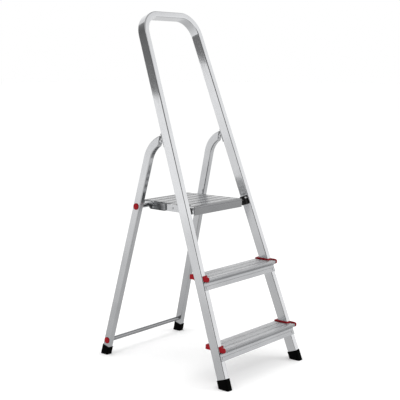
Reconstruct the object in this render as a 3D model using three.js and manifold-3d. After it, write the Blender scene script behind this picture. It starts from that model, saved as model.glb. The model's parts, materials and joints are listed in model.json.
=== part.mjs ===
// Folding household step ladder: two treads, a platform and a hooped handrail.
//
// The front frame is one rectangular aluminium tube bent into an upside-down U.
// Two bent rear legs hinge on its back, and the platform hinges between its
// stiles. With the ladder open, the platform's arms hook over the cross rod of
// the rear legs and hold both frames apart.
//
// Millimetres. +X is to the right of someone facing the treads, +Y points to the
// back of the ladder and +Z up. The origin is on the floor, in the middle of the
// ladder's footprint.

import * as THREE from 'three';
import { mergeVertices } from 'three/addons/utils/BufferGeometryUtils.js';
import Module from 'manifold-3d';

const wasm = await Module();
wasm.setup();

// ---------------------------------------------------------------------------
// Driving dimensions

// The ladder as a whole, open
const platformHeight = 620;
const upperTreadHeight = 382;
const lowerTreadHeight = 143;
const stileLean = 19.85;        // degrees back from upright
const footSpread = 613;         // stile centreline to leg centreline, on the floor
const frontWidth = 458;         // outside of the stiles, on the floor
const rearWidth = 448;          // outside of the rear legs, on the floor
const stileSplay = 2.96;        // degrees that each stile leans inwards
const legSplay = 2.67;          // degrees that each rear leg leans inwards

// Front hoop
const stileWidth = 23;          // across the ladder
const stileDepth = 40;          // front to back
const hoopLength = 1409;        // floor to the top of the hoop, along the stiles
const hoopBend = 81.5;          // radius of the hoop's two bends, on the centreline

// Rear legs
const legWidth = 22.5;
const legDepth = 33;
const legBend = 100;            // radius of the bend under the hinge, on the centreline
const rodBelowDeck = 18;        // cross rod that carries the platform
const strutHeight = 57;         // cross strut just above the rear feet
const rodDiameter = 16;
const strutDiameter = 16.5;

// Tube walls and round corners
const tubeWall = 1.5;
const rodWall = 1.4;
const tubeCorner = 4;

// Hinge between each stile and its leg
const hingeAlongStile = 919;    // floor to the hinge pin, along the stile
const hingeBehindStile = 10.5;  // pin axis behind the stile's back face
const hingeAheadOfLeg = 46.7;   // pin axis ahead of the leg's straight centreline
const hingePinDiameter = 6;
const hingeEyeRadius = 7;
const tongueThickness = 12;
const tongueHeight = 30;        // at the leg's end
const plugDepth = 16;
const earThickness = 2.5;
const bracketHeight = 52;
const bracketRivetIn = 6;       // from the bracket's ends

// Treads
const treadBehindStile = 14;    // top plate behind the stile's back face
const treadNose = 27;           // nose ahead of the stile's front face
const noseHeight = 10;
const treadSheet = 2.2;
const frontFlange = 45;         // top of the tread to the flange's lower edge
const rearFlange = 22;
const ribPitch = 7.5;           // between fine grooves
const treadGrooves = [26, -5];  // deep grooves, behind the stile's front face
const flangeRivetUp = 8;        // from the flange's lower edge

// Tread end caps
const capWall = 3;
const capRim = 4.5;             // rim standing above the tread
const capDrop = 24;             // cap's reach below the tread's top
const capWrapDrop = 13;         // the same behind the stile
const capNoseDrop = 14;         // and ahead of it
const capNoseIn = 4;            // nose end, in from the stile's outer face

// Platform
const deckOverhang = 26;        // deck behind the cross rod
const deckHalfFront = 139.5;    // half the deck's width at its nose
const deckTaper = 2.64;         // degrees that each side of the deck runs inwards
const deckSheet = 3;
const deckLip = 14;             // depth of the ribs under each board
const deckFlange = 33;
const boardPitch = 82;
const firstBoard = 91;          // nose to the first joint between boards
const armThickness = 3;
const armDrop = 4;              // top edge of the arm below the deck's surface
const armHeight = 26;
const pivotBehindNose = 9;      // platform pivot behind the deck's nose
const pivotBelowDeck = 11;
const pivotPinDiameter = 7;
const armJaw = 9;               // arm behind the rod
const jawDrop = 22;             // that jaw's foot below the deck
const jawSlope = 0.5;           // front jaw's lean, so that the rod can leave the hook
const armRivetAt = 110;
const clipThickness = 5;
const clipLength = 100;         // from its front end to the cross rod
const clipHighEnd = 58;         // its high part ends this far ahead of the rod
const clipLow = 12.5;           // top of its low part below the deck
const clipBottom = 31;
const clipRivetAhead = 35;      // of the rod

// Hinge blocks on the stiles' inner faces
const blockThickness = 15;
const blockLength = 34;
const blockDepth = 24;

// Feet and rod caps
const shoeWall = 2.4;
const shoeHeight = 35;
const soleThickness = 5;
const capDiameter = 25;
const capThickness = 4;

// Rivets
const rivetHead = 9;
const rivetHeight = 1.8;
const rivetShank = 4.8;

// Clearances
const gap = 0.3;                // between pieces that touch
const running = 0.5;            // between pieces that turn on one another
const hookPlay = 0.7;           // around the rod in the arm's hook

// ---------------------------------------------------------------------------
// Values that follow from them

const rad = THREE.MathUtils.degToRad;
const leanTan = Math.tan(rad(stileLean));
const stileHalf = stileDepth / 2;
const stileFoot = frontWidth / 2 - stileWidth / 2;
const legFoot = rearWidth / 2 - legWidth / 2;
const halfDepthLevel = stileHalf / Math.cos(rad(stileLean));

// Level cut through a stile: where its centre and front face are at a height.
const stileCentreAt = (height) => height * leanTan;
const stileFrontAt = (height) => stileCentreAt(height) - halfDepthLevel;
const alongStile = (height) => height / Math.cos(rad(stileLean));
const stileMiddle = (along) => stileFoot - along * Math.tan(rad(stileSplay));
const legMiddle = (along) => legFoot - along * Math.tan(rad(legSplay));

// The two frames are each drawn upright in a group of their own: z runs along the
// tube, y points backwards. The front one comes first, with the hinge on its back.
const frontFrame = new THREE.Group();
frontFrame.rotation.x = -rad(stileLean);
frontFrame.updateMatrix();
const hingeX = stileMiddle(hingeAlongStile);
const hingePoint = new THREE.Vector3(0, stileHalf + hingeBehindStile, hingeAlongStile)
  .applyMatrix4(frontFrame.matrix);

// A rear leg stands on its foot and passes behind the hinge pin at a set distance, which
// gives its lean: its straight part is tangent to a circle round the pin.
const pinFromFoot = Math.hypot(footSpread - hingePoint.y, hingePoint.z);
const legLean = Math.atan2(footSpread - hingePoint.y, hingePoint.z) - Math.asin(hingeAheadOfLeg / pinFromFoot);
const rearFrame = new THREE.Group();
rearFrame.position.y = footSpread;
rearFrame.rotation.x = legLean;
rearFrame.updateMatrix();
const toRear = (point) => point.clone().applyMatrix4(rearFrame.matrix.clone().invert());

// The leg's end is cut just clear of the hinge's eye, and its bend starts as low as
// brings the end to the pin
const hingeInRear = toRear(hingePoint);
const endCutY = hingeInRear.y + hingeEyeRadius + 2 * gap;
const plugFaceY = endCutY - gap;
const legBendStart = hingeInRear.z - Math.sqrt(legBend ** 2 - (legBend + endCutY) ** 2);

// The platform pivots on the stiles' centreline and reaches back over the cross rod
const pivotZ = platformHeight - pivotBelowDeck;
const pivotY = stileCentreAt(pivotZ);
const platformFront = pivotY - pivotBehindNose;
const rodHeight = platformHeight - rodBelowDeck;
const rodY = footSpread - rodHeight * Math.tan(legLean);
const platformDepth = rodY + deckOverhang - platformFront;
const rodAlongLeg = rodHeight / Math.cos(legLean);
const strutAlongLeg = strutHeight / Math.cos(legLean);

// ---------------------------------------------------------------------------
// Finishes

const finish = (color, roughness, metalness) =>
  () => new THREE.MeshStandardMaterial({ color, roughness, metalness });
const aluminium = finish(0xd4d5d6, 0.32, 1);
const ribbedAluminium = finish(0xc3c4c5, 0.4, 1);
const steel = finish(0xb9babc, 0.35, 1);
const redPlastic = finish(0xb4122a, 0.42, 0);
const blackPlastic = finish(0x1b1b1c, 0.55, 0);
const blackRubber = finish(0x0d0d0e, 0.75, 0);

// ---------------------------------------------------------------------------
// Solids: a closed geometry becomes a solid to be cut or joined, and comes back

function solid(geometry) {
  const bare = geometry.clone();
  bare.deleteAttribute('normal');
  bare.deleteAttribute('uv');
  const merged = mergeVertices(bare, 1e-4);
  return new wasm.Manifold(new wasm.Mesh({
    numProp: 3,
    vertProperties: new Float32Array(merged.attributes.position.array),
    triVerts: new Uint32Array(merged.index.array),
  }));
}

function geometryOf(body) {
  const mesh = body.getMesh();
  const geometry = new THREE.BufferGeometry();
  geometry.setAttribute('position', new THREE.BufferAttribute(mesh.vertProperties, 3));
  geometry.setIndex(new THREE.BufferAttribute(mesh.triVerts, 1));
  geometry.computeVertexNormals();
  return geometry;
}

function cut(blank, ...tools) {
  const body = tools.reduce((left, tool) => left.subtract(solid(tool)), solid(blank));
  return geometryOf(body);
}

function join(...geometries) {
  const [first, ...rest] = geometries.map(solid);
  return geometryOf(rest.reduce((left, right) => left.add(right), first));
}

function keep(blank, tool) {
  return geometryOf(solid(blank).intersect(solid(tool)));
}

// ---------------------------------------------------------------------------
// Shapes

function outline(points) {
  return new THREE.Shape(points.map(([x, y]) => new THREE.Vector2(x, y)));
}

// Rectangle with round corners, centred; alongX by alongY
function roundedRectangle(alongX, alongY, corner, path = new THREE.Shape()) {
  const x = alongX / 2 - corner;
  const y = alongY / 2 - corner;
  path.absarc(x, -y, corner, -Math.PI / 2, 0);
  path.absarc(x, y, corner, 0, Math.PI / 2);
  path.absarc(-x, y, corner, Math.PI / 2, Math.PI);
  path.absarc(-x, -y, corner, Math.PI, Math.PI * 1.5);
  path.closePath();
  return path;
}

function tubeSection(alongX, alongY, wall, corner) {
  const section = roundedRectangle(alongX, alongY, corner);
  const bore = roundedRectangle(alongX - 2 * wall, alongY - 2 * wall, corner - wall, new THREE.Path());
  section.holes.push(bore);
  return section;
}

// Upright prism from z = from to z = to
function prism(shape, from, to, segments = 2) {
  const geometry = new THREE.ExtrudeGeometry(shape, {
    depth: to - from, bevelEnabled: false, curveSegments: segments,
  });
  return geometry.translate(0, 0, from);
}

// The same outline drawn in the side view, y across and z up, and run along x
const sideView = new THREE.Matrix4().makeBasis(
  new THREE.Vector3(0, 1, 0), new THREE.Vector3(0, 0, 1), new THREE.Vector3(1, 0, 0));

function acrossX(shape, from, to, segments = 2) {
  return prism(shape, from, to, segments).applyMatrix4(sideView);
}

function box(low, high) {
  const size = high.map((value, i) => value - low[i]);
  const middle = high.map((value, i) => (value + low[i]) / 2);
  return new THREE.BoxGeometry(...size).translate(...middle);
}

// Round bar along x
function rod(radius, fromX, toX, y, z, segments = 24) {
  const geometry = new THREE.CylinderGeometry(radius, radius, toX - fromX, segments);
  return geometry.rotateZ(Math.PI / 2).translate((fromX + toX) / 2, y, z);
}

// Round bar along y
function peg(radius, fromY, toY, x, z, segments = 16) {
  const geometry = new THREE.CylinderGeometry(radius, radius, toY - fromY, segments);
  return geometry.translate(x, (fromY + toY) / 2, z);
}

// Turned piece: profile points are [radius, height], and its axis is +z
function turned(profile, segments = 24) {
  const points = profile.map(([radius, height]) => new THREE.Vector2(radius, height));
  return new THREE.LatheGeometry(points, segments).rotateX(Math.PI / 2);
}

// A path through given stations, so that an extrusion has a section just there:
// close together round a bend, and none along a straight
class StationPath extends THREE.Curve {
  constructor(stations) {
    super();
    this.stations = stations;
  }

  station(t) {
    return this.stations[Math.round(t * (this.stations.length - 1))];
  }

  getPoint(t) {
    return this.station(t).point.clone();
  }

  getPointAt(t) {
    return this.getPoint(t);
  }

  getTangentAt(t) {
    return this.station(t).tangent.clone();
  }
}

function sweep(section, stations, segments = 2) {
  return new THREE.ExtrudeGeometry(section, {
    steps: stations.length - 1,
    extrudePath: new StationPath(stations),
    curveSegments: segments,
  });
}

// ---------------------------------------------------------------------------
// Where pieces go. Every side piece is drawn once, on the right, and mirrored.

const ladder = new THREE.Group();
ladder.name = 'step_ladder';
ladder.add(frontFrame, rearFrame);

function mirrored(geometry) {
  return geometryOf(solid(geometry).mirror([1, 0, 0]));
}

function withMirror(geometry) {
  return [geometry, mirrored(geometry)];
}

function piece(parent, name, geometry, material) {
  const mesh = new THREE.Mesh(geometry, material());
  mesh.name = name;
  parent.add(mesh);
}

function pair(parent, name, geometry, material) {
  piece(parent, `${name}_right`, geometry, material);
  piece(parent, `${name}_left`, mirrored(geometry), material);
}

// Upright blank moved onto the right stile or leg of its frame
function onStile(geometry) {
  return geometry.rotateY(-rad(stileSplay)).translate(stileFoot, 0, 0);
}

function onLeg(geometry) {
  return geometry.rotateY(-rad(legSplay)).translate(legFoot, 0, 0);
}

// Everything under a height of the open ladder, seen from a leaning frame
function below(height, frame) {
  const slab = box([-600, -900, -400], [600, 900, height]);
  return slab.applyMatrix4(frame.matrix.clone().invert());
}

// Blind rivet: its head stands on a face at z = 0, with the grip below
function rivet(grip) {
  const shank = rivetShank / 2;
  const head = rivetHead / 2;
  return turned([
    [0, -grip - 3], [shank + 0.9, -grip - 3], [shank + 0.9, -grip - gap], [shank, -grip - gap],
    [shank, gap], [head, gap], [head, rivetHeight * 0.5], [head * 0.6, rivetHeight], [0, rivetHeight],
  ], 10);
}

function rivetHole(x, z, fromY, toY) {
  return peg(rivetShank / 2 + gap, fromY, toY, x, z);
}

// ---------------------------------------------------------------------------
// Front hoop: one tube, stile - bend - top rail - bend - stile

function hoopStations() {
  const splay = rad(stileSplay);
  const topZ = hoopLength - stileWidth / 2;
  const bendZ = topZ - hoopBend;
  const bendX = stileMiddle(bendZ) - hoopBend / Math.cos(splay);
  const bottom = -30;
  const steps = 8;
  const stations = [];
  const add = (x, z, angle) => stations.push({
    point: new THREE.Vector3(x, 0, z),
    tangent: new THREE.Vector3(-Math.sin(angle), 0, Math.cos(angle)),
  });
  add(stileMiddle(bottom), bottom, splay);
  for (let i = 0; i <= steps; i += 1) {
    const angle = splay + (Math.PI / 2 - splay) * (i / steps);
    add(bendX + hoopBend * Math.cos(angle), bendZ + hoopBend * Math.sin(angle), angle);
  }
  const otherSide = stations.map(({ point, tangent }) => ({
    point: new THREE.Vector3(-point.x, 0, point.z),
    tangent: new THREE.Vector3(tangent.x, 0, -tangent.z),
  }));
  return stations.concat(otherSide.reverse());
}

const treads = [['lower', lowerTreadHeight], ['upper', upperTreadHeight]];
const flangeRivetAlong = (height) => alongStile(height - frontFlange + flangeRivetUp) - stileHalf * leanTan;
const bracketRivets = [-1, 1].map((end) => hingeAlongStile + end * (bracketHeight / 2 - bracketRivetIn));
const pivotInFront = new THREE.Vector3(0, pivotY, pivotZ)
  .applyMatrix4(frontFrame.matrix.clone().invert());
const pivotInnerFace = stileMiddle(pivotInFront.z) - stileWidth / 2;

function frontHoop() {
  // the section's first axis runs front to back and its second across the tube
  const section = tubeSection(stileDepth, stileWidth, tubeWall, tubeCorner);
  const rivetHoles = [];
  for (const [, height] of treads) {
    const along = flangeRivetAlong(height);
    rivetHoles.push(rivetHole(stileMiddle(along), along, -stileHalf - 5, -stileHalf + 5));
  }
  for (const along of bracketRivets) {
    rivetHoles.push(rivetHole(stileMiddle(along), along, stileHalf - 5, stileHalf + 5));
  }
  const pivotBore = rod(pivotPinDiameter / 2 + gap, pivotInnerFace - 5, pivotInnerFace + 5,
    pivotInFront.y, pivotInFront.z, 16);
  const holes = [...rivetHoles, pivotBore].flatMap(withMirror);
  return cut(sweep(section, hoopStations()), below(soleThickness + gap, frontFrame), ...holes);
}

// ---------------------------------------------------------------------------
// Treads

const groove = (y, half, depth) => [[y + half, 0], [y, -depth], [y - half, 0]];

// Ribbed top from the back to the front: deep grooves at given places, and fine ones
// evenly between them
function ribbedTop(back, front, deepPlaces) {
  const edges = [back, ...deepPlaces.filter((y) => y < back - ribPitch && y > front + ribPitch), front];
  const points = [];
  for (let i = 1; i < edges.length; i += 1) {
    const count = Math.round((edges[i - 1] - edges[i]) / ribPitch);
    for (let j = 1; j < count; j += 1) {
      points.push(...groove(edges[i - 1] + (edges[i] - edges[i - 1]) * (j / count), 1, 0.5));
    }
    if (i < edges.length - 1) {
      points.push(...groove(edges[i], 1.8, 1.3));
    }
  }
  return points;
}

const treadBack = 2 * halfDepthLevel + treadBehindStile;

// Side view of a tread: y = 0 is the stile's front face at the tread's top, z = 0
function treadOutline() {
  const sheet = treadSheet;
  const flange = (z, out) => [z * leanTan - gap - out, z];
  const inside = -sheet - 1.4;
  const flangeTop = -noseHeight - 12;
  return outline([
    [treadBack, -rearFlange], [treadBack, -1.5], [treadBack - 1.5, 0],
    ...ribbedTop(treadBack - 2, -treadNose + 4, treadGrooves),
    [-treadNose + 3, 0], [-treadNose + 0.9, -0.9], [-treadNose, -3],
    [-treadNose, -noseHeight + 1.5], [-treadNose + 1.5, -noseHeight],
    flange(flangeTop, sheet), flange(-30, sheet), flange(-31, sheet - 0.8), flange(-32, sheet),
    flange(-frontFlange, sheet), flange(-frontFlange, 0), flange(flangeTop + 1, 0),
    [-treadNose + sheet + 2, -noseHeight + sheet], [-treadNose + sheet, -noseHeight + sheet + 1],
    [-treadNose + sheet, inside - 1], [-treadNose + sheet + 1, inside],
    [treadBack - sheet - 1, inside], [treadBack - sheet, inside - 1], [treadBack - sheet, -rearFlange],
  ]);
}

// Side view of an end cap: the tread's outline grown into a rim
function capOutline() {
  const back = treadBack + 2;
  const nose = -treadNose - 3;
  const shape = new THREE.Shape();
  shape.moveTo(back, -capDrop + 4);
  shape.lineTo(back, capRim - 3);
  shape.quadraticCurveTo(back, capRim, back - 3, capRim);
  shape.lineTo(nose + 11, capRim);
  shape.quadraticCurveTo(nose, capRim, nose, -4);
  shape.quadraticCurveTo(nose, -capNoseDrop, nose + 9, -capNoseDrop);
  shape.lineTo(-capNoseDrop * leanTan + gap, -capNoseDrop);
  shape.lineTo(-capDrop * leanTan + gap, -capDrop);
  shape.lineTo(back - 4, -capDrop);
  return shape;
}

// The right stile, grown by a margin, as the open ladder holds it
function stilePassing(margin) {
  const shape = roundedRectangle(stileWidth + 2 * margin, stileDepth + 2 * margin, tubeCorner);
  return onStile(prism(shape, -40, 700)).applyMatrix4(frontFrame.matrix);
}

// A block in the stile's own directions, as the open ladder holds it: x from the
// stile's middle outwards, y from its middle backwards
function besideStile(fromX, toX, fromY, toY) {
  return onStile(box([fromX, fromY, -40], [toX, toY, 700])).applyMatrix4(frontFrame.matrix);
}

// The tread runs in front of both stiles and, behind their front faces, between them.
// Its flange lies on the stiles' front faces, under the end caps.
function tread(height) {
  const blank = acrossX(treadOutline(), -frontWidth / 2, frontWidth / 2)
    .translate(0, stileFrontAt(height), height);
  const above = (drop) => box([-400, -200, height - drop - 2 * gap], [400, 500, height + 50]);
  const plateSpace = keep(besideStile(-stileWidth / 2 - capWall - 2 * gap, 200,
    -stileHalf - gap / 3, 300), above(capDrop));
  const frontSpace = keep(besideStile(-stileWidth / 2 - capWall - 2 * gap, 200,
    -stileHalf - capWall - 2 * gap, 300), above(capNoseDrop));
  const noseEnd = keep(besideStile(stileWidth / 2 - capNoseIn - capWall - gap, 200, -200, 300),
    above(capNoseDrop));
  const flangeEnd = besideStile(stileWidth / 2 - 1, 200, -200, 300);
  const along = flangeRivetAlong(height);
  const hole = rivetHole(stileMiddle(along), along, -stileHalf - 8, -stileHalf + 2)
    .applyMatrix4(frontFrame.matrix);
  return cut(blank, ...[plateSpace, frontSpace, noseEnd, flangeEnd, hole].flatMap(withMirror));
}

// The cap wraps the stile on three sides and closes the end of the tread's nose. Its arm
// behind the stile is shallower than its plate on the tread's end.
function treadCap(height) {
  const blank = acrossX(capOutline(), 0, frontWidth / 2, 4).translate(0, stileFrontAt(height), height);
  const inner = -stileWidth / 2 - capWall - gap;
  const band = keep(blank, besideStile(inner, stileWidth / 2, -200, 300));
  const noseEnd = stileWidth / 2 - capNoseIn;
  const noseFill = besideStile(inner - 1, noseEnd - capWall, -200, -stileHalf - capWall - gap);
  const besideNose = besideStile(noseEnd, 200, -200, 0);
  const underWrap = keep(besideStile(-stileWidth / 2 - gap, 200, 0, 300),
    box([-400, -200, height - 2 * capDrop], [400, 500, height - capWrapDrop]));
  return cut(band, stilePassing(gap), noseFill, besideNose, underWrap);
}

// ---------------------------------------------------------------------------
// Feet: a socket over the tube's end, flat on the floor

function shoe(width, depth, frame) {
  const wall = shoeWall;
  const outer = prism(roundedRectangle(width + 2 * wall, depth + 2 * wall, tubeCorner + wall), -40, shoeHeight);
  const socket = prism(roundedRectangle(width + 2 * gap, depth + 2 * gap, tubeCorner + gap), -60, shoeHeight + 10);
  return { outer, socket, sole: below(0, frame), plug: below(soleThickness, frame) };
}

function frontShoe() {
  const { outer, socket, sole, plug } = shoe(stileWidth, stileDepth, frontFrame);
  return cut(onStile(outer), sole, cut(onStile(socket), plug));
}

function rearShoe() {
  const { outer, socket, sole, plug } = shoe(legWidth, legDepth, rearFrame);
  return cut(onLeg(outer), sole, cut(onLeg(socket), plug));
}

// ---------------------------------------------------------------------------
// Rear legs

function legStations(from) {
  const add = (y, z, angle) => ({
    point: new THREE.Vector3(0, y, z),
    tangent: new THREE.Vector3(0, -Math.sin(angle), Math.cos(angle)),
  });
  const bend = rad(66);
  const steps = 8;
  const stations = [add(0, from, 0)];
  for (let i = 0; i <= steps; i += 1) {
    const angle = bend * (i / steps);
    stations.push(add(legBend * (Math.cos(angle) - 1), legBendStart + legBend * Math.sin(angle), angle));
  }
  return stations;
}

// Everything ahead of the leg's end, which is cut parallel to its straight part, so
// that it lies parallel to the stile when the ladder is folded
function aheadOf(y) {
  return box([-400, y - 400, -100], [400, y, 1200]);
}

function crossHole(diameter, along) {
  return rod(diameter / 2 + gap, 0, 400, 0, along, 20);
}

// Everything nearer to the open ladder's stile than the bracket's rivets reach
function nearStile() {
  const reach = stileHalf + gap + earThickness + gap + rivetHeight + running;
  const slab = box([-400, -400, 0], [400, reach, 1600]).applyMatrix4(frontFrame.matrix);
  return slab.applyMatrix4(rearFrame.matrix.clone().invert());
}

function rearLeg() {
  const section = tubeSection(legDepth, legWidth, tubeWall, tubeCorner);
  return cut(onLeg(sweep(section, legStations(-30))), below(soleThickness + gap, rearFrame),
    aheadOf(endCutY), nearStile(), crossHole(rodDiameter, rodAlongLeg),
    crossHole(strutDiameter, strutAlongLeg));
}

// Plug in the leg's end, with the tongue that turns between the bracket's ears
function hingePlug() {
  const inset = 2 * (tubeWall + gap);
  const section = roundedRectangle(legDepth - inset, legWidth - inset, tubeCorner - tubeWall);
  const inLeg = box([0, plugFaceY, legBendStart], [400, endCutY + plugDepth, 1200]);
  const plug = keep(onLeg(sweep(section, legStations(legBendStart - 50))), inLeg);
  const { y, z } = hingeInRear;
  const eye = new THREE.Shape();
  eye.moveTo(plugFaceY + 0.2, z - tongueHeight / 2);
  eye.lineTo(plugFaceY + 0.2, z + tongueHeight / 2);
  eye.absarc(y, z, hingeEyeRadius, rad(68), rad(292), false);
  const tongue = acrossX(eye, hingeX - tongueThickness / 2, hingeX + tongueThickness / 2, 5);
  return cut(join(plug, tongue), rod(hingePinDiameter / 2 + running, 0, 400, y, z, 16));
}

// Bracket on the stile's back face: a base plate with two ears
function hingeBracket() {
  const base = box([-stileWidth / 2 + 1.5, stileHalf + gap, -bracketHeight / 2],
    [stileWidth / 2 - 1.5, stileHalf + gap + earThickness, bracketHeight / 2]);
  base.translate(hingeX, 0, hingeAlongStile);
  const pinY = stileHalf + hingeBehindStile;
  const ear = new THREE.Shape();
  ear.moveTo(stileHalf + gap + 1, hingeAlongStile + 11);
  ear.lineTo(stileHalf + gap + 1, hingeAlongStile - 11);
  ear.absarc(pinY, hingeAlongStile, hingeEyeRadius, rad(-60), rad(60), false);
  const inner = tongueThickness / 2 + running;
  const ears = [-inner - earThickness, inner].map((x) =>
    acrossX(ear, hingeX + x, hingeX + x + earThickness, 5));
  const bore = rod(hingePinDiameter / 2 + gap, 0, 400, pinY, hingeAlongStile, 16);
  const holes = bracketRivets.map((along) => rivetHole(stileMiddle(along), along, stileHalf - 5, stileHalf + 9));
  return cut(join(base, ...ears), bore, ...holes);
}

// Rivet pin through the ears and the tongue
function hingePin() {
  const head = 2;
  const reach = tongueThickness / 2 + running + earThickness + gap;
  const radius = hingePinDiameter / 2;
  const pin = turned([
    [0, -reach - head], [radius + 1.6, -reach - head], [radius + 2.4, -reach - head / 2],
    [radius + 2.4, -reach], [radius, -reach], [radius, reach], [radius + 2.4, reach],
    [radius + 2.4, reach + head / 2], [radius + 1.6, reach + head], [0, reach + head],
  ], 16);
  return pin.rotateY(Math.PI / 2).translate(hingeX, stileHalf + hingeBehindStile, hingeAlongStile);
}

// Cross tube from one leg's outer face to the other's
function crossTube(diameter, along) {
  const reach = legMiddle(along) + legWidth / 2 - 1;
  return cut(rod(diameter / 2, -reach, reach, 0, along, 24),
    rod(diameter / 2 - rodWall, -reach - 5, reach + 5, 0, along, 16));
}

// Plastic cap on the leg's outer face, with a stub inside the cross tube
function rodCap(diameter, along) {
  const stub = diameter / 2 - rodWall - 1.2;
  const face = legWidth / 2 + gap;
  const cap = turned([
    [0, -12], [stub, -12], [stub, 0], [capDiameter / 2, 0], [capDiameter / 2, capThickness * 0.45],
    [capDiameter / 2 - 1, capThickness * 0.8], [capDiameter / 2 - 3, capThickness], [0, capThickness],
  ], 20);
  const alongAxis = along / Math.cos(rad(legSplay));
  return onLeg(cap.rotateY(Math.PI / 2).translate(face, 0, alongAxis));
}

// ---------------------------------------------------------------------------
// Platform. Its pieces are drawn with y = 0 at the deck's nose and z = 0 at its top.

const platform = new THREE.Group();
platform.position.set(0, platformFront, platformHeight);
ladder.add(platform);
const hookAlong = (rodY - platformFront) / Math.cos(rad(deckTaper));
const hookZ = -rodBelowDeck;
const hookRadius = rodDiameter / 2 + hookPlay;

// The deck's sides run inwards to the back. On its right side, x is measured
// outwards from the side, y along it and z up.
function onDeckSide(geometry) {
  return geometry.rotateZ(rad(deckTaper)).translate(deckHalfFront, 0, 0);
}

// Deep grooves: one on each joint between boards and one in the middle of each board
const deckGrooves = [2.5, 2, 1.5, 1, 0.5, 0].map((boards) => firstBoard + (boards - 0.5) * boardPitch);

function frontBoardOutline() {
  const to = firstBoard - gap;
  const inside = -deckSheet;
  const flange = 0.4;
  return outline([
    [to, -deckLip], [to, -0.8], [to - 0.8, 0], ...ribbedTop(to, 6, deckGrooves),
    [4.5, 0], [1.5, -1.2], [0, -4], [0, -5.5], [1.2, -6.5], [flange, -7.5], [flange, -deckFlange],
    [flange + deckSheet, -deckFlange], [flange + deckSheet, inside - 2], [flange + deckSheet + 2, inside],
    [to - 2, inside], [to - 2, -deckLip],
  ]);
}

function boardOutline(from, to) {
  return outline([
    [to, -deckLip], [to, -0.8], [to - 0.8, 0], ...ribbedTop(to, from, deckGrooves),
    [from + 0.8, 0], [from, -0.8], [from, -deckLip], [from + 2, -deckLip], [from + 2, -deckSheet],
    [to - 2, -deckSheet], [to - 2, -deckLip],
  ]);
}

function deckBoard(shape) {
  const blank = acrossX(shape, -deckHalfFront - 20, deckHalfFront + 20);
  const side = onDeckSide(box([-gap, -50, -60], [200, 400, 30]));
  return cut(blank, ...withMirror(side));
}

// Arm beside the deck: an ear round the pivot at the front, a hook over the cross rod
// at the back
function jawAt(z) {
  const tilt = Math.atan(jawSlope);
  const touchY = hookAlong - hookRadius * Math.cos(tilt);
  const touchZ = hookZ + hookRadius * Math.sin(tilt);
  return touchY - (touchZ - z) * jawSlope;
}

function armOutline() {
  const top = -armDrop;
  const bottom = -armDrop - armHeight;
  const front = pivotBehindNose - (pivotBelowDeck - armDrop);
  const back = hookAlong + hookRadius + armJaw;
  const shape = new THREE.Shape();
  shape.moveTo(back, top - 3);
  shape.lineTo(back - 3, top);
  shape.absarc(pivotBehindNose, -pivotBelowDeck, pivotBelowDeck - armDrop, Math.PI / 2, Math.PI, false);
  shape.lineTo(front, bottom + 8);
  shape.quadraticCurveTo(front, bottom, front + 8, bottom);
  shape.lineTo(jawAt(bottom) - 3, bottom);
  shape.lineTo(jawAt(bottom + 3), bottom + 3);
  shape.absarc(hookAlong, hookZ, hookRadius, Math.PI - Math.atan(jawSlope), 0, true);
  shape.lineTo(hookAlong + hookRadius, -jawDrop);
  shape.lineTo(back, -jawDrop);
  return shape;
}

function platformArm() {
  const shank = rivetShank / 2 + gap;
  const blank = acrossX(armOutline(), 0, armThickness, 6);
  const armHole = rod(shank, -5, 5, armRivetAt, -armDrop - armHeight / 2, 16);
  const clipHole = rod(shank, -5, 5, hookAlong - clipRivetAhead, -(clipLow + clipBottom) / 2, 16);
  const bore = rod(pivotPinDiameter / 2 + running, 100, 200, pivotBehindNose, -pivotBelowDeck, 16);
  return cut(onDeckSide(cut(blank, armHole, clipHole)), bore);
}

function platformClip() {
  const top = -armDrop - 0.5;
  const shape = new THREE.Shape();
  shape.moveTo(hookAlong - clipLength, top);
  shape.lineTo(hookAlong - clipHighEnd, top);
  shape.lineTo(hookAlong - clipHighEnd + 4, -clipLow);
  shape.lineTo(jawAt(-clipLow), -clipLow);
  shape.lineTo(jawAt(-clipBottom + 5), -clipBottom + 5);
  shape.quadraticCurveTo(jawAt(-clipBottom), -clipBottom, jawAt(-clipBottom) - 6, -clipBottom);
  shape.lineTo(hookAlong - clipLength + 4, -clipBottom);
  shape.lineTo(hookAlong - clipLength, -clipBottom + 4);
  const inner = armThickness + gap;
  const blank = acrossX(shape, inner, inner + clipThickness, 5);
  const hole = rod(rivetShank / 2 + gap, 0, 20, hookAlong - clipRivetAhead, -(clipLow + clipBottom) / 2, 16);
  return onDeckSide(cut(blank, hole));
}

function deckSideRivet(faceX, y, z) {
  return onDeckSide(rivet(faceX).rotateY(Math.PI / 2).translate(faceX, y, z));
}

// ---------------------------------------------------------------------------
// Platform pivots: a block on each stile's inner face, and a pin from it into the arm

function pivotBlock() {
  const face = -stileWidth / 2 - gap;
  const shape = roundedRectangle(blockDepth, blockLength, 4);
  const blank = onStile(acrossX(shape, face - blockThickness, face)
    .translate(0, 0, pivotInFront.z / Math.cos(rad(stileSplay))));
  const bore = rod(pivotPinDiameter / 2 + gap, 0, 400, pivotInFront.y, pivotInFront.z, 16);
  return cut(blank, bore);
}

function pivotPin() {
  const radius = pivotPinDiameter / 2;
  const armFace = deckHalfFront - pivotBehindNose * Math.tan(rad(deckTaper)) - 2 * running;
  const end = pivotInnerFace + tubeWall + 2;
  const pin = turned([
    [0, armFace - 1.5], [radius + 1.2, armFace - 1.5], [radius + 1.2, armFace], [radius, armFace],
    [radius, end], [0, end],
  ], 16);
  return pin.rotateY(Math.PI / 2).translate(0, pivotInFront.y, pivotInFront.z);
}

// ---------------------------------------------------------------------------
// The pieces

piece(frontFrame, 'front_hoop', frontHoop(), aluminium);
pair(frontFrame, 'front_shoe', frontShoe(), blackRubber);

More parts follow.
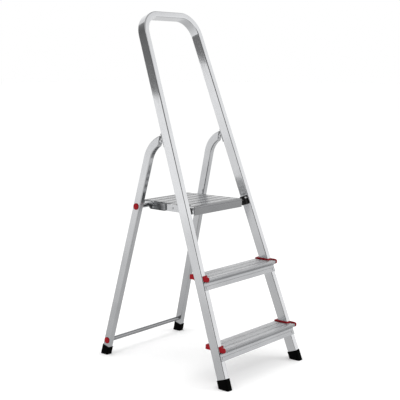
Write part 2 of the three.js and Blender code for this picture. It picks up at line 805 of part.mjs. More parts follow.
const flangeFace = -stileHalf - (gap + treadSheet) * Math.cos(rad(stileLean));
for (const [level, height] of treads) {
  piece(ladder, `tread_${level}`, tread(height), ribbedAluminium);
  pair(ladder, `tread_cap_${level}`, treadCap(height), redPlastic);
  const along = flangeRivetAlong(height);
  const grip = -stileHalf + tubeWall - flangeFace;
  const flangeRivet = rivet(grip).rotateX(Math.PI / 2).translate(stileMiddle(along), flangeFace, along);
  pair(frontFrame, `tread_rivet_${level}`, flangeRivet, steel);
}

pair(frontFrame, 'hinge_bracket', hingeBracket(), steel);
pair(frontFrame, 'hinge_pin', hingePin(), steel);
bracketRivets.forEach((along, i) => {
  const base = gap + earThickness;
  const bracketRivet = rivet(base + tubeWall).rotateX(-Math.PI / 2)
    .translate(stileMiddle(along), stileHalf + base, along);
  pair(frontFrame, `bracket_rivet_${i === 0 ? 'lower' : 'upper'}`, bracketRivet, steel);
});
pair(frontFrame, 'pivot_block', pivotBlock(), blackPlastic);
pair(frontFrame, 'pivot_pin', pivotPin(), steel);

pair(rearFrame, 'rear_leg', rearLeg(), aluminium);
pair(rearFrame, 'hinge_plug', hingePlug(), steel);
pair(rearFrame, 'rear_shoe', rearShoe(), blackRubber);
piece(rearFrame, 'cross_rod', crossTube(rodDiameter, rodAlongLeg), aluminium);
piece(rearFrame, 'foot_strut', crossTube(strutDiameter, strutAlongLeg), aluminium);
pair(rearFrame, 'rod_cap', rodCap(rodDiameter, rodAlongLeg), redPlastic);
pair(rearFrame, 'strut_cap', rodCap(strutDiameter, strutAlongLeg), redPlastic);

const secondBoard = firstBoard + boardPitch;
piece(platform, 'front_board', deckBoard(frontBoardOutline()), ribbedAluminium);
piece(platform, 'middle_board', deckBoard(boardOutline(firstBoard + gap, secondBoard - gap)), ribbedAluminium);
piece(platform, 'rear_board', deckBoard(boardOutline(secondBoard + gap, platformDepth)), ribbedAluminium);
pair(platform, 'platform_arm', platformArm(), aluminium);
pair(platform, 'platform_clip', platformClip(), steel);
pair(platform, 'arm_rivet', deckSideRivet(armThickness, armRivetAt, -armDrop - armHeight / 2), steel);
pair(platform, 'clip_rivet', deckSideRivet(armThickness + gap + clipThickness, hookAlong - clipRivetAhead,
  -(clipLow + clipBottom) / 2), steel);

// The origin goes to the middle of the footprint
const shoeReach = (depth, lean) => (depth / 2 + shoeWall) / Math.cos(lean);
const footprintFront = -shoeReach(stileDepth, rad(stileLean));
const footprintBack = footSpread + shoeReach(legDepth, legLean);
ladder.position.y = -(footprintFront + footprintBack) / 2;

export default ladder;
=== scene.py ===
# %% [markdown]
# # A folding aluminium step ladder
# The real ladder is a bent aluminium tube, two ribbed treads, a ribbed platform and two rear
# legs, with red end caps and black feet. The frame that is loaded here already has every
# part at its size and place, so this lesson only gives the parts their finer shapes and
# their finishes, and then lights them.

# %% Load the frame
import json
import math

import bpy
from mathutils import Matrix, Vector

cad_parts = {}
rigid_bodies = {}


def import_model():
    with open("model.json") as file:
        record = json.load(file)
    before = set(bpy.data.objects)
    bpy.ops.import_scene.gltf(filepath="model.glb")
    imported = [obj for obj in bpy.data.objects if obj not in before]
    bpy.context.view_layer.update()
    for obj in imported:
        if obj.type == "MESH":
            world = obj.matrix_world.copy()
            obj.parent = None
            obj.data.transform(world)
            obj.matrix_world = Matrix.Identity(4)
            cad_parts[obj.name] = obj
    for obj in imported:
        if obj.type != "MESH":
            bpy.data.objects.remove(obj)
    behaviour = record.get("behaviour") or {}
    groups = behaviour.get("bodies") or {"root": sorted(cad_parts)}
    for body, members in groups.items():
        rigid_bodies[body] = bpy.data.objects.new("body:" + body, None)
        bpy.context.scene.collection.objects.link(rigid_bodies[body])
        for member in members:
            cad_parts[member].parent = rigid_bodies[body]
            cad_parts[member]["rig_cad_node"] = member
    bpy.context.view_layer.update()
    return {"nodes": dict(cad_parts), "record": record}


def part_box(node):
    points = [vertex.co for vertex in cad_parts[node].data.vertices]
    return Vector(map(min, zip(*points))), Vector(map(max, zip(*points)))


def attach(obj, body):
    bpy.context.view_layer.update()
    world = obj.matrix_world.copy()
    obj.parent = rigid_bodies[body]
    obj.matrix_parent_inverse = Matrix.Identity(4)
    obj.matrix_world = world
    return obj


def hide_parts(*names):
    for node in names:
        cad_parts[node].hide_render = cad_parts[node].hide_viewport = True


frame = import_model()
scene = bpy.context.scene
print("frame loaded:", len(frame["nodes"]), "nodes")

# %% [markdown]
# ## Where the two frames stand
# The front frame leans back and the rear one leans forward. Both are easier to model upright,
# so each gets a matrix that tips finished work into place. The rear lean comes from two places
# that the frame already holds, the cross rod and the foot strut. The front lean is given, and
# the front shoe says where the stile's foot stands.

# %% Sizes and the two tipping matrices
MM = 0.001
STILE_WIDTH, STILE_DEPTH = 23 * MM, 40 * MM
LEG_WIDTH, LEG_DEPTH = 22.5 * MM, 33 * MM
TUBE_WALL, TUBE_CORNER = 1.5 * MM, 4 * MM
SHOE_WALL = 2.4 * MM
STILE_LEAN = math.radians(19.85)


def middle(node):
    low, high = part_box(node)
    return (low + high) / 2


rod, strut = middle("cross_rod"), middle("foot_strut")
LEG_LEAN = math.atan2(strut.y - rod.y, rod.z - strut.z)
leg_foot_y = strut.y + strut.z * math.tan(LEG_LEAN)
front_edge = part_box("front_shoe_right")[0].y
stile_foot_y = front_edge + (STILE_DEPTH / 2 + SHOE_WALL) / math.cos(STILE_LEAN)
TIP_FRONT = Matrix.Translation((0, stile_foot_y, 0)) @ Matrix.Rotation(-STILE_LEAN, 4, "X")
TIP_REAR = Matrix.Translation((0, leg_foot_y, 0)) @ Matrix.Rotation(LEG_LEAN, 4, "X")
print("leans:", round(math.degrees(STILE_LEAN), 2), round(math.degrees(LEG_LEAN), 2))

# %% [markdown]
# ## The camera
# The ladder is seen from its front left, from about chest height and with a long lens, so
# that its upright lines stay nearly parallel. A camera in Blender looks down its own -Z, so
# 90 degrees about X brings it level, and a turn about Z swings it towards the ladder.

# %% Camera
CAMERA_PLACE = (-2.5374, stile_foot_y - 1.8781, 1.1156)
CAMERA_DOWN, CAMERA_TURN = 8.422, -49.294
SENSOR, LENS = 36, 79.632

bpy.ops.object.camera_add(
    location=CAMERA_PLACE,
    rotation=(math.radians(90 - CAMERA_DOWN), 0, math.radians(CAMERA_TURN)),
)
camera = bpy.context.object
camera.data.sensor_width = SENSOR
camera.data.lens = LENS
scene.camera = camera
print("camera lens:", round(camera.data.lens, 1), "mm")

# %% [markdown]
# ## Two helpers for materials
# Colours are given as sRGB hex values, as a paint chart would, and turned to the linear values
# that Blender works in. One small helper adds a node to a tree with its settings and its links.
# A setting is an attribute or a socket's value, and "stops" fills a colour ramp. The sockets of
# a Mix node share their names, so for colours they are given by number.

# %% Colour and node helpers
FACTOR, COLOUR_A, COLOUR_B, MIXED = 0, 6, 7, 2


def colour(hex_code):
    channels = [int(hex_code[i:i + 2], 16) / 255 for i in (0, 2, 4)]
    linear = [c / 12.92 if c <= 0.04045 else ((c + 0.055) / 1.055) ** 2.4 for c in channels]
    return (*linear, 1)


def add_node(tree, kind, settings=None, links=None):
    node = tree.nodes.new(kind)
    for name, value in (settings or {}).items():
        if name == "stops":
            stops = node.color_ramp.elements
            for place, _ in value[2:]:
                stops.new(place)
            for stop, (place, shade) in zip(stops, sorted(value)):
                stop.position = place
                stop.color = colour(shade)
        elif isinstance(name, str) and hasattr(node, name):
            setattr(node, name, value)
        else:
            node.inputs[name].default_value = value
    for name, source in (links or {}).items():
        tree.links.new(source, node.inputs[name])
    return node


print("white in linear values:", colour("FFFFFF"))

# %% [markdown]
# ## The studio
# Aluminium shows what stands around it more than its own colour, so the surroundings matter as
# much as the material. The ladder stands on a white floor in a white studio whose reflection
# is a little darker overhead: only glossy rays see the darker sky, so that it doesn't dull the
# light on the ladder. Two soft lamps add light shadows.

# %% World, floor and lamps
FLOOR_SIZE = 120
LAMP_POWER = 22

scene.view_settings.view_transform = "Standard"
world = bpy.data.worlds.new("white_studio")
scene.world = world
world.use_nodes = True
sky = world.node_tree
direction = add_node(sky, "ShaderNodeTexCoord").outputs["Generated"]
height = add_node(sky, "ShaderNodeSeparateXYZ", links={"Vector": direction}).outputs["Z"]
overhead = add_node(sky, "ShaderNodeValToRGB", {"stops": ((0.42, "FFFFFF"), (0.7, "B8B8B8"))},
                    {"Fac": height}).outputs["Color"]
in_metal = add_node(sky, "ShaderNodeLightPath").outputs["Is Glossy Ray"]
seen = add_node(sky, "ShaderNodeMix", {"data_type": "RGBA", COLOUR_A: colour("FFFFFF")},
                {FACTOR: in_metal, COLOUR_B: overhead})
sky.links.new(seen.outputs[MIXED], sky.nodes["Background"].inputs["Color"])
sky.nodes["Background"].inputs["Strength"].default_value = 1.0

bpy.ops.mesh.primitive_plane_add(size=FLOOR_SIZE, location=(0, 0, 0))
floor = bpy.context.object
floor.name = "floor"


def lamp(name, place, aim, size):
    bpy.ops.object.light_add(type="AREA", location=place)
    light = bpy.context.object
    light.name = name
    light.data.shape = "RECTANGLE"
    light.data.size, light.data.size_y = size
    light.data.energy = LAMP_POWER
    light.rotation_euler = (Vector(aim) - Vector(place)).to_track_quat("-Z", "Y").to_euler()
    light.visible_glossy = False


lamp("key_lamp", (2.2, -2.6, 3.2), (0, 0, 0.6), (1.6, 1.6))
lamp("top_lamp", (-0.6, 0.2, 3.4), (0, 0, 0.5), (2.4, 2.4))
print("lamps lit")

# %% [markdown]
# ### Cards
# As in product photography, cards out of view give the metal its darker reflections: a dark
# one close by at the back left, the dark room behind the camera, which draws a thin line along
# every round edge, and one on the floor with a painted shadow of the ladder, darkest under the
# ladder.
# Only reflections see them. A real card has one shade, but a shade that changes from its middle
# outwards does the work of several. Distances in the ramps are in parts of the card's side.

# %% Cards that only reflections see


def card(name, place, aim, size, stops):
    bpy.ops.mesh.primitive_plane_add(size=1, location=place)
    piece = bpy.context.object
    piece.name = name
    piece.scale = (size[0], size[1], 1)
    piece.rotation_euler = (Vector(aim) - Vector(place)).to_track_quat("Z", "Y").to_euler()
    for ray in ("camera", "shadow", "diffuse"):
        setattr(piece, "visible_" + ray, False)
    finish = bpy.data.materials.new(name)
    finish.use_nodes = True
    tree = finish.node_tree
    tree.nodes.remove(tree.nodes["Principled BSDF"])
    spot = add_node(tree, "ShaderNodeTexCoord").outputs["Object"]
    reach = add_node(tree, "ShaderNodeVectorMath", {"operation": "LENGTH"}, {0: spot})
    fade = add_node(tree, "ShaderNodeValToRGB", {"stops": stops}, {"Fac": reach.outputs["Value"]})
    glow = add_node(tree, "ShaderNodeEmission", links={"Color": fade.outputs["Color"]})
    tree.links.new(glow.outputs["Emission"], tree.nodes["Material Output"].inputs["Surface"])
    piece.data.materials.append(finish)


card("dark_card", (-1.1, 0.5, 1.56), (-0.26, -0.3, 1.56), (2.4, 1.0),
     ((0.1, "585858"), (0.6, "8A8A8A")))
card("room_card", (-3.9, -3.4, 1.6), (0, 0, 0.9), (6, 5),
     ((0.2, "2E2E2E"), (0.7, "4A4A4A")))
# The floor card's darker middle is a painted shadow of the ladder on the floor, seen only in
# reflections.
card("floor_shadow_card", (0, 0, 0.001), (0, 0, 1), (12, 12),
     ((0.03, "C4C4C4"), (0.5, "F6F6F6"), (0.16, "DEDEDE")))

# %% [markdown]
# ## Finishes
# ### Mill-finish aluminium
# The tubes are extruded: they leave the die with fine lines along their length, and are then
# only cleaned and lightly anodised. To the eye that is a bright, slightly satin metal whose
# reflections are stretched by the lines. The lines are noise pulled out along the tube, so the
# pattern has to lie the way the tube lies: one finish for each lean. The real lines are finer
# than 1.2 mm, and are drawn that coarse so that they show.

# %% How drawn aluminium is built
LINE_SPACING, LINE_STRETCH = 1.2 * MM, 0.012


def new_finish(name, base, metallic, roughness):
    material = bpy.data.materials.new(name)
    material.use_nodes = True
    shader = material.node_tree.nodes["Principled BSDF"]
    shader.inputs["Base Color"].default_value = colour(base)
    shader.inputs["Metallic"].default_value = metallic
    shader.inputs["Roughness"].default_value = roughness
    return material, material.node_tree, shader


def drawn_aluminium(name, tilt, shades, roughness, waves=(), painted_side_shade="FFFFFF"):
    material, tree, shader = new_finish(name, shades[0], 1.0, roughness)
    coordinates = add_node(tree, "ShaderNodeTexCoord").outputs
    place = coordinates["Object"]
    turned = add_node(tree, "ShaderNodeMapping", {"Rotation": tilt},
                      {"Vector": place}).outputs["Vector"]
    drawn_out = add_node(tree, "ShaderNodeMapping", {"Scale": (1, 1, LINE_STRETCH)},
                         {"Vector": turned}).outputs["Vector"]
    lines = add_node(tree, "ShaderNodeTexNoise", {"Scale": 0.5 / LINE_SPACING, "Detail": 4.0},
                     {"Vector": drawn_out}).outputs["Fac"]
    cloud = add_node(tree, "ShaderNodeTexNoise", {"Scale": 9.0, "Detail": 3.0},
                     {"Vector": place}).outputs["Fac"]
    scuffs = add_node(tree, "ShaderNodeTexNoise", {"Scale": 160.0, "Detail": 2.0},
                      {"Vector": turned}).outputs["Fac"]
    rough = add_node(tree, "ShaderNodeMapRange",
                     {"From Min": 0.3, "From Max": 0.7, "To Min": roughness - 0.05,
                      "To Max": roughness + 0.07}, {"Value": lines}).outputs["Result"]
    tint = add_node(tree, "ShaderNodeValToRGB", {"stops": ((0.35, shades[0]), (0.75, shades[1]))},
                    {"Fac": cloud}).outputs["Color"]
    heights = add_node(tree, "ShaderNodeMath", {"operation": "ADD"},
                       {0: lines, 1: scuffs}).outputs["Value"]
    bump = add_node(tree, "ShaderNodeBump", {"Strength": 0.08, "Distance": 0.1 * MM},
                    {"Height": heights}).outputs["Normal"]
    faces_up = add_node(tree, "ShaderNodeSeparateXYZ",
                        links={"Vector": coordinates["Normal"]}).outputs["Z"]
    on_top = add_node(tree, "ShaderNodeMapRange", {"From Min": 0.6, "From Max": 0.9},
                      {"Value": faces_up}).outputs["Result"]
    # Faces that don't face up, such as the flanges, are multiplied by a painted shade.
    side_shade_mask = add_node(tree, "ShaderNodeMapRange", {"From Min": 0.9, "From Max": 0.6},
                       {"Value": faces_up}).outputs["Result"]
    tint = add_node(tree, "ShaderNodeMix",
                    {"data_type": "RGBA", "blend_type": "MULTIPLY", COLOUR_B: colour(painted_side_shade)},
                    {FACTOR: side_shade_mask, COLOUR_A: tint}).outputs[MIXED]
    for pitch, start, depth, shade in waves:
        ridges = add_node(tree, "ShaderNodeTexWave",
                          {"bands_direction": "Y", "Scale": math.pi / 10 / pitch,
                           "Phase Offset": -2 * math.pi * start / pitch},
                          {"Vector": place}).outputs["Fac"]
        # The grooves of each wave are painted darker on faces that face up: painted shade, and on
        # the flutes painted reflection.
        painted_groove_shade = add_node(tree, "ShaderNodeValToRGB", {"stops": ((0.1, shade), (0.6, "FFFFFF"))},
                        {"Fac": ridges}).outputs["Color"]
        tint = add_node(tree, "ShaderNodeMix", {"data_type": "RGBA", "blend_type": "MULTIPLY"},
                        {FACTOR: on_top, COLOUR_A: tint, COLOUR_B: painted_groove_shade}).outputs[MIXED]
        bump = add_node(tree, "ShaderNodeBump", {"Distance": depth},
                        {"Strength": on_top, "Height": ridges, "Normal": bump}).outputs["Normal"]
    tree.links.new(rough, shader.inputs["Roughness"])
    tree.links.new(tint, shader.inputs["Base Color"])
    tree.links.new(bump, shader.inputs["Normal"])
    return material


print("lines of the drawn tubes:", round(LINE_SPACING / MM, 1), "mm apart")

# %% [markdown]
# ### Tubes, treads and platform
# The treads are a duller extrusion with ribs across them; the finest ribs, 2.5 mm apart on the
# real ones, are drawn 3.75 mm apart, so that they show. The grooves of the ribs are painted
# darker, a painted shade, and the faces that don't face up, such as the flanges, carry a painted
# shade as well. The platform's boards have wide flutes as well, two to a board, with painted
# shade and painted reflection in their grooves. A wave is given by its pitch, where it starts,
# its depth and the painted shade of its grooves.

# %% Aluminium
ALONG_X = (0, math.pi / 2, 0)
ALONG_Y = (math.pi / 2, 0, 0)
RIB_PITCH, RIB_DEPTH = 3.75 * MM, 0.12 * MM
FLUTE_PITCH, FLUTE_DEPTH = 41 * MM, 0.3 * MM
first_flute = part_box("front_board")[0].y + 9 * MM

front_tube = drawn_aluminium("drawn_aluminium_front", (STILE_LEAN, 0, 0),
                             ("DADBDD", "E4E5E7"), 0.12)
# The rear legs' copy of the tube finish is a shade darker than the hoop's: painted shade.
shaded_rear_tube = drawn_aluminium("drawn_aluminium_rear_shaded", (-LEG_LEAN, 0, 0),
                            ("CBCCCE", "D6D7D9"), 0.13)
# The cross rod and the foot strut get a much darker copy of the tube finish: painted shade for
# where they lie, under the platform and low by the floor.
shaded_cross_tube = drawn_aluminium("drawn_aluminium_across_shaded", ALONG_X, ("A0A1A3", "ABACAE"), 0.2)
# The groove shades and the side shades given to the treads and the deck are painted shade.
tread_metal = drawn_aluminium("ribbed_aluminium", ALONG_X, ("C2C3C5", "CECFD1"), 0.24,
                              waves=((RIB_PITCH, 0, RIB_DEPTH, "D6D6D6"),), painted_side_shade="F0F0F0")
deck_metal = drawn_aluminium("fluted_aluminium", ALONG_X, ("BEBFC1", "CACBCD"), 0.22,
                             waves=((RIB_PITCH, 0, RIB_DEPTH, "DCDCDC"),
                                    (FLUTE_PITCH, first_flute, FLUTE_DEPTH, "989898")),
                             painted_side_shade="C5C5C5")
arm_metal = drawn_aluminium("rolled_aluminium", ALONG_Y, ("D4D5D7", "DDDEE0"), 0.18)
print("aluminium finishes made")

# %% [markdown]
# ### Zinc-plated steel, red and black plastic, black rubber
# The rivets, the pins, and the hinges' brackets and plugs are steel with a bright zinc plating,
# which is a little mottled, and the clips under the platform are steel painted dark in patches,
# a painted dark reflection and shade of what lies around them under the platform. The end caps
# are moulded polypropylene in a strong red with a fine spark-eroded texture, the platform's pivot
# blocks are black nylon, and the feet are a dull black rubber.
# The grain is given by its size and depth in millimetres.

# %% Steel, plastics and rubber


def mottled(name, shades, metallic, roughness, grain, depth, patch=14.0, shine=0.5):
    material, tree, shader = new_finish(name, shades[0], metallic, roughness)
    shader.inputs["Specular IOR Level"].default_value = shine
    place = add_node(tree, "ShaderNodeTexCoord").outputs["Object"]
    patches = add_node(tree, "ShaderNodeTexNoise", {"Scale": patch, "Detail": 4.0},
                       {"Vector": place}).outputs["Fac"]
    grains = add_node(tree, "ShaderNodeTexNoise", {"Scale": 1 / (grain * MM), "Detail": 2.0},
                      {"Vector": place}).outputs["Fac"]
    tint = add_node(tree, "ShaderNodeValToRGB", {"stops": ((0.35, shades[0]), (0.7, shades[1]))},
                    {"Fac": patches}).outputs["Color"]
    rough = add_node(tree, "ShaderNodeMapRange",
                     {"From Min": 0.3, "From Max": 0.7, "To Min": roughness - 0.06,
                      "To Max": roughness + 0.06}, {"Value": patches}).outputs["Result"]
    bump = add_node(tree, "ShaderNodeBump", {"Strength": 0.25, "Distance": depth * MM},
                    {"Height": grains}).outputs["Normal"]
    tree.links.new(tint, shader.inputs["Base Color"])
    tree.links.new(rough, shader.inputs["Roughness"])
    tree.links.new(bump, shader.inputs["Normal"])
    return material


zinc = mottled("zinc_plated_steel", ("BFC0C2", "D0D1D2"), 1.0, 0.3,
               grain=0.8, depth=0.05, patch=60.0)
# The clips' dark patches are painted dark reflection and painted shade, not oil.
painted_dark_steel = mottled("steel_with_painted_dark_reflection", ("3C3D3F", "A0A1A3"), 1.0, 0.28,
                     grain=0.8, depth=0.05, patch=30.0)
red = mottled("red_polypropylene", ("860310", "930817"), 0.0, 0.4,
              grain=0.5, depth=0.08, shine=0.12)
nylon = mottled("black_nylon", ("0A0A0B", "111112"), 0.0, 0.45,
                grain=0.5, depth=0.08, shine=0.2)
rubber = mottled("black_rubber", ("020202", "050505"), 0.0, 0.75,
                 grain=0.9, depth=0.15, shine=0.04)
print("steel, plastics and rubber made")

# %% [markdown]
# ### The floor's white
# The floor is matt, so that it mirrors nothing, and glows very slightly, so that it is as white
# as the studio around it and only the ladder's shadows show on it.

# %% White floor
FLOOR_GLOW = 0.07

white_floor, _, floor_shader = new_finish("white_floor", "F8F8F8", 0.0, 0.9)
floor_shader.inputs["Specular IOR Level"].default_value = 0.0
floor_shader.inputs["Emission Color"].default_value = colour("FFFFFF")
floor_shader.inputs["Emission Strength"].default_value = FLOOR_GLOW
floor.data.materials.append(white_floor)
print("floor painted")

# %% [markdown]
# ## Helpers for pieces
# Each helper keeps to what a maker would do by hand: pick what lies at a place, work on it in
# edit mode, and put a modifier on and apply it. A round corner beside a long flat face would
# bend that face's shading, and with it every reflection, so the normals are weighted by the
# size of the faces. A finished piece rides on its body, stands for its CAD node and takes the
# finish of that node's slot.

# %% Piece helpers
SMOOTH_BELOW = math.radians(32)
FINISH_OF_SLOT = {
    "tube_aluminium": front_tube, "ribbed_aluminium": tread_metal, "steel": zinc,
    "red_plastic": red, "black_plastic": nylon, "rubber": rubber,
}
SLOT_OF_NODE = {part["node"]: part["material_slot"] for part in frame["record"]["subparts"]}
BODY_OF_NODE = {node: body for body, nodes in frame["record"]["behaviour"]["bodies"].items()
                for node in nodes}


def only(piece):
    bpy.ops.object.select_all(action="DESELECT")
    piece.select_set(True)
    bpy.context.view_layer.objects.active = piece


def apply_modifier(piece, kind, **settings):
    only(piece)
    modifier = piece.modifiers.new(kind.lower(), kind)
    for name, value in settings.items():
        setattr(modifier, name, value)
    bpy.ops.object.modifier_apply(modifier=modifier.name)


def smoothed(piece):
    only(piece)
    bpy.ops.object.shade_smooth_by_angle(angle=SMOOTH_BELOW)
    apply_modifier(piece, "WEIGHTED_NORMAL", weight=100, keep_sharp=True)


def finished(piece, node, material=None):
    piece.name = "fine_" + node
    smoothed(piece)
    piece.data.materials.clear()
    piece.data.materials.append(material or FINISH_OF_SLOT[SLOT_OF_NODE[node]])
    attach(piece, BODY_OF_NODE[node])
    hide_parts(node)


def copy_of(piece, mirror=False):
    only(piece)
    bpy.ops.object.duplicate()
    double = bpy.context.object
    if mirror:
        double.scale.x = -1
        bpy.ops.object.transform_apply(location=False, rotation=False, scale=True)
        bpy.ops.object.mode_set(mode="EDIT")
        bpy.ops.mesh.select_all(action="SELECT")
        bpy.ops.mesh.normals_make_consistent(inside=False)
        bpy.ops.object.mode_set(mode="OBJECT")
    return double


# %% [markdown]
# ## The tubes
# A bent tube could be a curve with a bevel, but a section that is extruded and spun keeps its
# corners true. It starts as a plane with the section's size, whose corners are rounded and
# whose face is deleted, so that a ring is left. The ring runs along straight lengths, and is
# spun round the centre of each bend. Solidify gives the tube its wall at the end.

# %% Ring, run, cut and wall of a tube
CORNER_STEPS = 5
MERGE = 0.01 * MM


def tube_ring(width, depth, place, turn):
    bpy.ops.object.select_all(action="DESELECT")
    bpy.ops.mesh.primitive_plane_add(size=1, location=place, rotation=turn)
    ring = bpy.context.object
    ring.scale = (width, depth, 1)
    bpy.ops.object.transform_apply(location=True, rotation=True, scale=True)
    bpy.ops.object.mode_set(mode="EDIT")
    bpy.ops.mesh.select_all(action="SELECT")
    bpy.ops.mesh.bevel(offset=TUBE_CORNER, offset_type="OFFSET", segments=CORNER_STEPS,
                       affect="VERTICES")
    bpy.ops.mesh.select_all(action="SELECT")
    bpy.ops.mesh.delete(type="ONLY_FACE")
    bpy.ops.mesh.select_all(action="SELECT")
    return ring


def run(offset):
    bpy.ops.mesh.extrude_region_move(TRANSFORM_OT_translate={"value": tuple(offset)})


def cut_off(point, normal):
    bpy.ops.mesh.select_all(action="SELECT")
    bpy.ops.mesh.bisect(plane_co=tuple(point), plane_no=tuple(normal), clear_outer=True)


def tube_wall(piece):
    only(piece)
    bpy.ops.object.mode_set(mode="EDIT")
    bpy.ops.mesh.select_all(action="SELECT")
    bpy.ops.mesh.remove_doubles(threshold=MERGE)
    bpy.ops.mesh.normals_make_consistent(inside=False)
    bpy.ops.object.mode_set(mode="OBJECT")
    apply_modifier(piece, "SOLIDIFY", thickness=TUBE_WALL, offset=-1.0)


print("tube wall:", round(TUBE_WALL / MM, 1), "mm")

# %% [markdown]
# ### The front hoop
# On the real ladder both stiles and the top rail are one rectangular tube, bent twice. The ring
# starts at the middle of the top rail, runs to the bend, is spun round the bend's centre and
# runs down the stile. A mirror makes the other half, and the ends are cut level inside the
# feet. Lengths are measured along the upright hoop, before it is tipped.

# %% Front hoop
HOOP_LENGTH, HOOP_BEND = 1409 * MM, 81.5 * MM
STILE_OUTSIDE, STILE_SPLAY = 229 * MM, math.radians(2.96)
BEND_STEPS = 18
SOLE = 5.3 * MM

rail_z = HOOP_LENGTH - STILE_WIDTH / 2
bend_z = rail_z - HOOP_BEND
stile_x = STILE_OUTSIDE - STILE_WIDTH / 2 - bend_z * math.tan(STILE_SPLAY)
bend_x = stile_x - HOOP_BEND / math.cos(STILE_SPLAY)

hoop = tube_ring(STILE_WIDTH, STILE_DEPTH, (0, 0, rail_z), ALONG_X)
run((bend_x, 0, 0))
bpy.ops.mesh.spin(steps=BEND_STEPS, angle=STILE_SPLAY - math.pi / 2,
                  center=(bend_x, 0, bend_z), axis=(0, 1, 0))
run((bend_z * math.sin(STILE_SPLAY), 0, -bend_z * math.cos(STILE_SPLAY)))
bpy.ops.object.mode_set(mode="OBJECT")
apply_modifier(hoop, "MIRROR", use_mirror_merge=True, merge_threshold=MERGE)
hoop.data.transform(TIP_FRONT)
only(hoop)
bpy.ops.object.mode_set(mode="EDIT")
cut_off((0, 0, SOLE), (0, 0, -1))
bpy.ops.object.mode_set(mode="OBJECT")
tube_wall(hoop)
finished(hoop, "front_hoop")
print("front hoop:", [round(v, 3) for v in hoop.dimensions], len(hoop.data.polygons), "faces")

# %% [markdown]
# ### The rear legs
# Each leg is a straight rectangular tube whose top is bent forward to the hinge. It is made as
# the hoop was: a ring at the foot runs up to the bend, and is spun forward until it passes the
# hinge. Then its end is cut upright, just behind the eye of the hinge, and the leg is splayed
# and tipped into place.

# %% Rear legs
LEG_BEND, LEG_TURN = 100 * MM, math.radians(75)
LEG_OUTSIDE, LEG_SPLAY = 224 * MM, math.radians(2.67)
HINGE_EYE, GAP = 7 * MM, 0.3 * MM

hinge = TIP_REAR.inverted() @ middle("hinge_pin_right")
leg_end_y = hinge.y + HINGE_EYE + 2 * GAP
leg_bend_z = hinge.z - math.sqrt(LEG_BEND ** 2 - (LEG_BEND + leg_end_y) ** 2)

leg = tube_ring(LEG_WIDTH, LEG_DEPTH, (0, 0, 0), (0, 0, 0))
run((0, 0, leg_bend_z))
bpy.ops.mesh.spin(steps=BEND_STEPS, angle=-LEG_TURN, center=(0, -LEG_BEND, leg_bend_z),
                  axis=(1, 0, 0))
cut_off((0, leg_end_y, 0), (0, -1, 0))
bpy.ops.object.mode_set(mode="OBJECT")
splayed = (Matrix.Translation((LEG_OUTSIDE - LEG_WIDTH / 2, 0, 0))
           @ Matrix.Rotation(-LEG_SPLAY, 4, "Y"))
leg.data.transform(TIP_REAR @ splayed)
only(leg)
bpy.ops.object.mode_set(mode="EDIT")
cut_off((0, 0, SOLE), (0, 0, -1))
bpy.ops.object.mode_set(mode="OBJECT")
tube_wall(leg)
other_leg = copy_of(leg, mirror=True)
finished(leg, "rear_leg_right", shaded_rear_tube)
finished(other_leg, "rear_leg_left", shaded_rear_tube)
print("rear leg:", [round(v, 3) for v in leg.dimensions], len(leg.data.polygons), "faces")

# %% [markdown]
# ## Edges of the small parts
# Moulded caps and feet, pressed steel and sawn aluminium all have small round edges that catch
# the light. Their shapes are right in the frame, so each is a copy with its edges softened: the
# loose triangles are merged, flat ones are joined to faces, and a Bevel modifier rounds what
# turns by more than 38 degrees.

# %% A softened copy
BEVEL_ABOVE = math.radians(38)
FLAT_BELOW = math.radians(1)


def softened(node, width):
    piece = copy_of(frame["nodes"][node])
    piece.parent = None
    del piece["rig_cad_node"]
    bpy.ops.object.mode_set(mode="EDIT")
    bpy.ops.mesh.select_all(action="SELECT")
    bpy.ops.mesh.remove_doubles(threshold=0.002 * MM)
    bpy.ops.mesh.dissolve_limited(angle_limit=FLAT_BELOW)
    bpy.ops.object.mode_set(mode="OBJECT")
    apply_modifier(piece, "BEVEL", width=width, segments=2, limit_method="ANGLE",
                   angle_limit=BEVEL_ABOVE, use_clamp_overlap=True)
    return piece


print("edges above", round(math.degrees(BEVEL_ABOVE)), "degrees are rounded")

# %% [markdown]
# ### Every other part
# The width of each bevel, in millimetres, follows how the part is made: a moulded cap has a
# full millimetre, a sawn or pressed edge much less. A left piece is the mirror image of its
# right one, so that the two are the same to the last face.

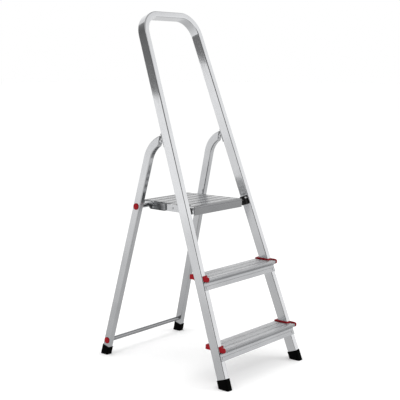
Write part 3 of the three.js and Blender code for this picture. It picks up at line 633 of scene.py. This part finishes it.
# %% Softened parts
WIDTHS = {
    "front_shoe": 1.0, "rear_shoe": 1.0, "tread_cap": 1.2, "rod_cap": 0.6, "strut_cap": 0.6,
    "pivot_block": 0.8, "platform_clip": 0.5, "platform_arm": 0.5, "hinge_bracket": 0.4,
    "hinge_plug": 0.5, "tread_rivet": 0.2, "bracket_rivet": 0.3, "arm_rivet": 0.3,
    "clip_rivet": 0.3, "hinge_pin": 0.3, "pivot_pin": 0.3, "tread_lower": 0.25,
    "tread_upper": 0.25, "front_board": 0.25, "middle_board": 0.25, "rear_board": 0.25,
    "cross_rod": 0.3, "foot_strut": 0.3,
}
OWN_FINISH = {
    "platform_arm": arm_metal, "platform_clip": painted_dark_steel, "front_board": deck_metal,
    "middle_board": deck_metal, "rear_board": deck_metal, "cross_rod": shaded_cross_tube,
    "foot_strut": shaded_cross_tube,
}
for node in sorted(frame["nodes"]):
    kind = next((k for k in WIDTHS if node.startswith(k)), None)
    if kind and not node.endswith("_left"):
        piece = softened(node, WIDTHS[kind] * MM)
        if node.endswith("_right"):
            other = copy_of(piece, mirror=True)
            finished(other, node.replace("_right", "_left"), OWN_FINISH.get(kind))
        finished(piece, node, OWN_FINISH.get(kind))

# %% [markdown]
# ## Straps on the pivot blocks
# A narrow bright strap runs across the front of each black pivot block. It starts as a cube
# with the strap's size on the upright stile, has its edges bevelled and is tipped with the
# stile, and a mirrored copy makes the other one.

# %% Pivot straps
STRAP_THICK, STRAP_TALL, STRAP_EDGE = 1.0 * MM, 6 * MM, 0.3 * MM
STRAP_AHEAD, STRAP_ABOVE = 12.6 * MM, 9 * MM
STRAP_SHARE = 0.9

low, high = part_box("pivot_block_right")
block_z = (TIP_FRONT.inverted() @ middle("pivot_block_right")).z
bpy.ops.object.select_all(action="DESELECT")
bpy.ops.mesh.primitive_cube_add(
    size=1, location=((low.x + high.x) / 2, -STRAP_AHEAD, block_z + STRAP_ABOVE))
strap = bpy.context.object
strap.scale = ((high.x - low.x) * STRAP_SHARE, STRAP_THICK, STRAP_TALL)
bpy.ops.object.transform_apply(location=True, rotation=True, scale=True)
apply_modifier(strap, "BEVEL", width=STRAP_EDGE, segments=2)
strap.data.transform(TIP_FRONT)
other_strap = copy_of(strap, mirror=True)
for piece, side in ((strap, "right"), (other_strap, "left")):
    piece.name = "pivot_strap_" + side
    smoothed(piece)
    piece.data.materials.append(zinc)
    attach(piece, "front_frame")
print("strap:", [round(v / MM, 1) for v in strap.dimensions], "mm")
